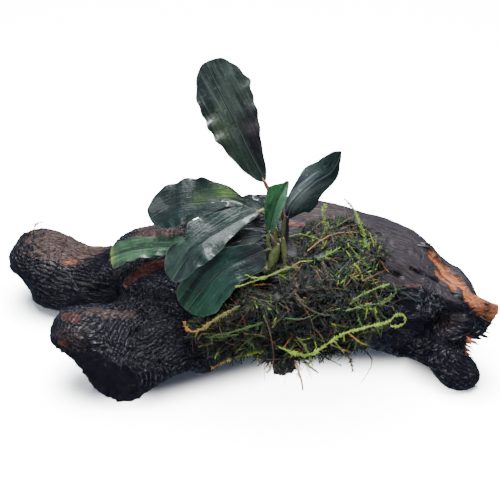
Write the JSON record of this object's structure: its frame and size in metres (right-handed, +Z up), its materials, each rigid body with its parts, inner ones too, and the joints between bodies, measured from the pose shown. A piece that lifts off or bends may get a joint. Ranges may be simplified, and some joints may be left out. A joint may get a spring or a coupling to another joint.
{
  "type": "bucephalandra on driftwood",
  "caption": "Broad-leaved water plant growing from a creeping stem on a dark forked driftwood log with a cushion of moss, lying on worn feet.",
  "frame": {"origin": "middle of the bottom of the object's box, on the surface that the driftwood lies on", "axes": "+X along the driftwood from its forked end to its jagged end, +Y to the side away from the moss, +Z up"},
  "size_m": [0.1933, 0.0915, 0.1235],
  "materials": {
    "wet_driftwood": "satin",
    "moss": "matte",
    "leaf": "gloss",
    "stem": "satin",
    "root": "matte"
  },
  "bodies": {
    "root": {"driftwood_trunk": "wet_driftwood", "driftwood_rear_branch": "wet_driftwood", "driftwood_front_branch": "wet_driftwood", "driftwood_foot": "wet_driftwood", "moss_cushion": "moss", "moss_strand_right": "moss", "moss_strand_side": "moss", "moss_strand_top": "moss", "moss_strand_crest": "moss", "moss_strand_middle": "moss", "moss_strand_left": "moss", "moss_strand_low": "moss", "moss_strand_hanging": "moss", "moss_strand_under": "moss", "moss_strand_long": "moss", "moss_sprig_branch": "moss", "rhizome": "stem", "leaf_tall": "leaf", "leaf_back_left": "leaf", "leaf_front_left": "leaf", "leaf_far_left": "leaf", "leaf_low": "leaf", "leaf_young": "leaf", "leaf_right": "leaf", "leaf_shaded": "leaf", "leaf_rear": "leaf", "petiole_tall": "stem", "petiole_back_left": "stem", "petiole_front_left": "stem", "petiole_far_left": "stem", "petiole_low": "stem", "petiole_young": "stem", "petiole_right": "stem", "petiole_shaded": "stem", "petiole_rear": "stem", "root_knob": "root", "root_long": "root", "root_middle": "root", "root_short": "root"}
  },
  "joints": []
}
